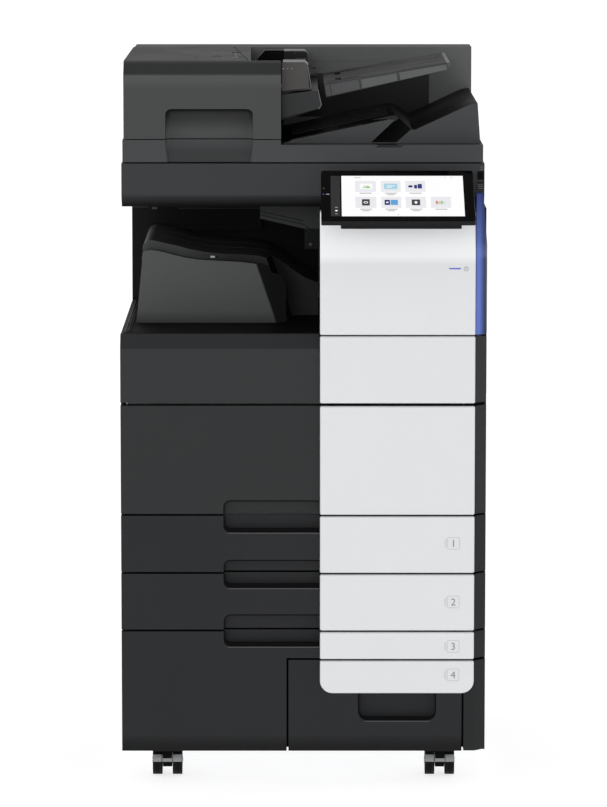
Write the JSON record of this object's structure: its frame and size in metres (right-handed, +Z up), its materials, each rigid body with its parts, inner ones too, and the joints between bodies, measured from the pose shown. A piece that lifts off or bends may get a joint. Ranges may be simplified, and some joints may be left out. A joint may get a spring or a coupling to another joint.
{
  "type": "photocopier",
  "caption": "Floor-standing A3 office photocopier with document feeder, tilting operation panel, exit bay, paper drawers, toner and imaging doors, and casters",
  "frame": {"origin": "Centre of the footprint box, on the floor under the casters", "axes": "+Z up, +X to the machine's right-hand side seen from the front, front faces -Y"},
  "size_m": [0.615, 0.8294, 1.2236],
  "materials": {
    "dark_plastic": "fine textured moulding",
    "black_plastic": "fine textured moulding",
    "light_plastic": "smooth satin moulding",
    "accent_plastic": "tinted, polished",
    "grey_plastic": "fine textured moulding",
    "zinc_steel": "zinc-plated sheet",
    "platen_glass": "clear float glass",
    "screen_glass": "black glossy touch panel",
    "roller_rubber": "moulded rubber",
    "belt_film": "polyimide belt over rollers",
    "toner_yellow": "moulded",
    "toner_magenta": "moulded",
    "toner_cyan": "moulded",
    "toner_black": "moulded"
  },
  "bodies": {
    "machine": {"base_pan": "zinc_steel", "main_frame": "zinc_steel", "left_cover": "dark_plastic", "right_cover": "dark_plastic", "rear_cover": "dark_plastic", "bay_liner": "black_plastic", "output_tray": "dark_plastic", "exit_unit": "dark_plastic", "front_right_cover": "light_plastic", "accent_strip": "accent_plastic", "inner_front_panel": "grey_plastic", "transfer_belt_unit": "belt_film", "scanner_housing": "dark_plastic", "platen_glass": "platen_glass", "panel_bracket": "black_plastic"},
    "operation_panel": {"panel_housing": "black_plastic", "touch_screen": "screen_glass"},
    "document_feeder": {"adf_base": "dark_plastic", "adf_rear_housing": "dark_plastic", "adf_feeder": "black_plastic", "platen_pad": "light_plastic"},
    "feed_cover": {"adf_feed_cover": "dark_plastic"},
    "document_tray": {"document_tray": "dark_plastic"},
    "guide_front": {"document_guide_front": "black_plastic"},
    "guide_rear": {"document_guide_rear": "black_plastic"},
    "pickup_roller": {"adf_pickup_roller": "roller_rubber"},
    "upper_door": {"upper_front_door": "dark_plastic", "upper_door_panel": "light_plastic"},
    "lower_door": {"lower_front_door": "dark_plastic", "lower_door_panel": "light_plastic"},
    "right_door": {"right_door": "dark_plastic"},
    "bypass_tray": {"bypass_tray": "dark_plastic"},
    "drawer_1": {"tray_1": "dark_plastic", "tray_1_panel": "light_plastic"},
    "drawer_2": {"tray_2": "dark_plastic", "tray_2_panel": "light_plastic"},
    "drawer_3": {"tray_3": "dark_plastic", "tray_3_panel": "light_plastic"},
    "drawer_4": {"tray_4": "dark_plastic", "tray_4_panel": "light_plastic"},
    "lift_1": {"tray_1_lift": "zinc_steel"},
    "lift_2": {"tray_2_lift": "zinc_steel"},
    "lift_3": {"tray_3_lift": "zinc_steel"},
    "lift_4": {"tray_4_lift": "zinc_steel"},
    "scan_carriage": {"scan_carriage": "black_plastic"},
    "power_button": {"power_button": "light_plastic"},
    "toner_yellow": {"toner_bottle_yellow": "toner_yellow"},
    "toner_magenta": {"toner_bottle_magenta": "toner_magenta"},
    "toner_cyan": {"toner_bottle_cyan": "toner_cyan"},
    "toner_black": {"toner_bottle_black": "toner_black"},
    "exit_roller": {"exit_roller": "roller_rubber"},
    "fuser_roller": {"fuser_roller": "roller_rubber"},
    "caster_fork_front_left": {"caster_fork_front_left": "black_plastic"},
    "caster_wheels_front_left": {"caster_wheels_front_left": "roller_rubber"},
    "caster_fork_front_right": {"caster_fork_front_right": "black_plastic"},
    "caster_wheels_front_right": {"caster_wheels_front_right": "roller_rubber"},
    "caster_fork_rear_left": {"caster_fork_rear_left": "black_plastic"},
    "caster_wheels_rear_left": {"caster_wheels_rear_left": "roller_rubber"},
    "caster_fork_rear_right": {"caster_fork_rear_right": "black_plastic"},
    "caster_wheels_rear_right": {"caster_wheels_rear_right": "roller_rubber"}
  },
  "joints": [
    {"name": "feeder_lift", "type": "hinge", "parent": "machine", "child": "document_feeder", "pos_m": [0, 0.34873, 1.064], "axis": [-1, 0, 0], "range_deg": [0, 60]},
    {"name": "feed_cover_hinge", "type": "hinge", "parent": "document_feeder", "child": "feed_cover", "pos_m": [-0.301, -0.00427, 1.0942], "axis": [0, -1, 0], "range_deg": [0, 60]},
    {"name": "document_tray_hinge", "type": "hinge", "parent": "document_feeder", "child": "document_tray", "pos_m": [0.0345, -0.00427, 1.1702], "axis": [0, -1, 0], "range_deg": [0, 15]},
    {"name": "document_guides", "type": "slide", "parent": "document_tray", "child": "guide_front", "axis": [0, 1, 0], "range_m": [0, 0.05]},
    {"name": "document_guide_rear_slide", "type": "slide", "parent": "document_tray", "child": "guide_rear", "axis": [0, 1, 0], "range_m": [-0.05, 0]},
    {"name": "pickup_spin", "type": "hinge", "parent": "document_feeder", "child": "pickup_roller", "pos_m": [-0.09, 0.01573, 1.158], "axis": [0, 1, 0], "continuous": true},
    {"name": "panel_tilt", "type": "hinge", "parent": "machine", "child": "operation_panel", "pos_m": [0.155, -0.28727, 1.008], "axis": [1, 0, 0], "range_deg": [0, 40]},
    {"name": "upper_door_hinge", "type": "hinge", "parent": "machine", "child": "upper_door", "pos_m": [0, -0.26627, 0.6675], "axis": [1, 0, 0], "range_deg": [0, 88]},
    {"name": "lower_door_hinge", "type": "hinge", "parent": "machine", "child": "lower_door", "pos_m": [-0.3035, -0.26527, 0.5565], "axis": [0, 0, -1], "range_deg": [0, 95]},
    {"name": "right_door_hinge", "type": "hinge", "parent": "machine", "child": "right_door", "pos_m": [0.304, 0.24773, 0.605], "axis": [0, 0, 1], "range_deg": [0, 75]},
    {"name": "bypass_hinge", "type": "hinge", "parent": "right_door", "child": "bypass_tray", "pos_m": [0.303, 0.02573, 0.4265], "axis": [0, 1, 0], "range_deg": [0, 65]},
    {"name": "drawer_1_slide", "type": "slide", "parent": "machine", "child": "drawer_1", "axis": [0, -1, 0], "range_m": [0, 0.42]},
    {"name": "drawer_2_slide", "type": "slide", "parent": "machine", "child": "drawer_2", "axis": [0, -1, 0], "range_m": [0, 0.42]},
    {"name": "drawer_3_slide", "type": "slide", "parent": "machine", "child": "drawer_3", "axis": [0, -1, 0], "range_m": [0, 0.48]},
    {"name": "drawer_4_slide", "type": "slide", "parent": "machine", "child": "drawer_4", "axis": [0, -1, 0], "range_m": [0, 0.48]},
    {"name": "lift_1_hinge", "type": "hinge", "parent": "drawer_1", "child": "lift_1", "pos_m": [-0.2, -0.00427, 0.377], "axis": [0, -1, 0], "range_deg": [0, 8]},
    {"name": "lift_2_hinge", "type": "hinge", "parent": "drawer_2", "child": "lift_2", "pos_m": [-0.2, -0.00427, 0.279], "axis": [0, -1, 0], "range_deg": [0, 8]},
    {"name": "lift_3_slide", "type": "slide", "parent": "drawer_3", "child": "lift_3", "axis": [0, 0, 1], "range_m": [0, 0.15]},
    {"name": "lift_4_slide", "type": "slide", "parent": "drawer_4", "child": "lift_4", "axis": [0, 0, 1], "range_m": [0, 0.11]},
    {"name": "scan_slide", "type": "slide", "parent": "machine", "child": "scan_carriage", "axis": [1, 0, 0], "range_m": [0, 0.45]},
    {"name": "power_press", "type": "slide", "parent": "machine", "child": "power_button", "axis": [0, 1, 0], "range_m": [0, 0.0012], "stiffness_N_per_m": 300},
    {"name": "toner_yellow_spin", "type": "hinge", "parent": "machine", "child": "toner_yellow", "pos_m": [-0.215, -0.23627, 0.702], "axis": [0, 1, 0], "continuous": true},
    {"name": "toner_magenta_spin", "type": "hinge", "parent": "machine", "child": "toner_magenta", "pos_m": [-0.115, -0.23627, 0.702], "axis": [0, 1, 0], "continuous": true},
    {"name": "toner_cyan_spin", "type": "hinge", "parent": "machine", "child": "toner_cyan", "pos_m": [-0.015, -0.23627, 0.702], "axis": [0, 1, 0], "continuous": true},
    {"name": "toner_black_spin", "type": "hinge", "parent": "machine", "child": "toner_black", "pos_m": [0.1, -0.23627, 0.702], "axis": [0, 1, 0], "continuous": true},
    {"name": "exit_roller_spin", "type": "hinge", "parent": "machine", "child": "exit_roller", "pos_m": [0.012, 0.07773, 0.9045], "axis": [0, 1, 0], "continuous": true},
    {"name": "fuser_spin", "type": "hinge", "parent": "machine", "child": "fuser_roller", "pos_m": [0.212, 0.04873, 0.83], "axis": [0, 1, 0], "continuous": true},
    {"name": "swivel_front_left", "type": "hinge", "parent": "machine", "child": "caster_fork_front_left", "pos_m": [-0.2328, -0.19927, 0.056], "axis": [0, 0, 1], "continuous": true},
    {"name": "roll_front_left", "type": "hinge", "parent": "caster_fork_front_left", "child": "caster_wheels_front_left", "pos_m": [-0.2328, -0.18127, 0.025], "axis": [1, 0, 0], "continuous": true},
    {"name": "swivel_front_right", "type": "hinge", "parent": "machine", "child": "caster_fork_front_right", "pos_m": [0.2328, -0.19927, 0.056], "axis": [0, 0, 1], "continuous": true},
    {"name": "roll_front_right", "type": "hinge", "parent": "caster_fork_front_right", "child": "caster_wheels_front_right", "pos_m": [0.2328, -0.18127, 0.025], "axis": [1, 0, 0], "continuous": true},
    {"name": "swivel_rear_left", "type": "hinge", "parent": "machine", "child": "caster_fork_rear_left", "pos_m": [-0.2328, 0.30573, 0.056], "axis": [0, 0, 1], "continuous": true},
    {"name": "roll_rear_left", "type": "hinge", "parent": "caster_fork_rear_left", "child": "caster_wheels_rear_left", "pos_m": [-0.2328, 0.32373, 0.025], "axis": [1, 0, 0], "continuous": true},
    {"name": "swivel_rear_right", "type": "hinge", "parent": "machine", "child": "caster_fork_rear_right", "pos_m": [0.2328, 0.30573, 0.056], "axis": [0, 0, 1], "continuous": true},
    {"name": "roll_rear_right", "type": "hinge", "parent": "caster_fork_rear_right", "child": "caster_wheels_rear_right", "pos_m": [0.2328, 0.32373, 0.025], "axis": [1, 0, 0], "continuous": true}
  ],
  "couplings": [
    {"joint": "document_guide_rear_slide", "follows": "document_guides", "ratio": -1}
  ]
}
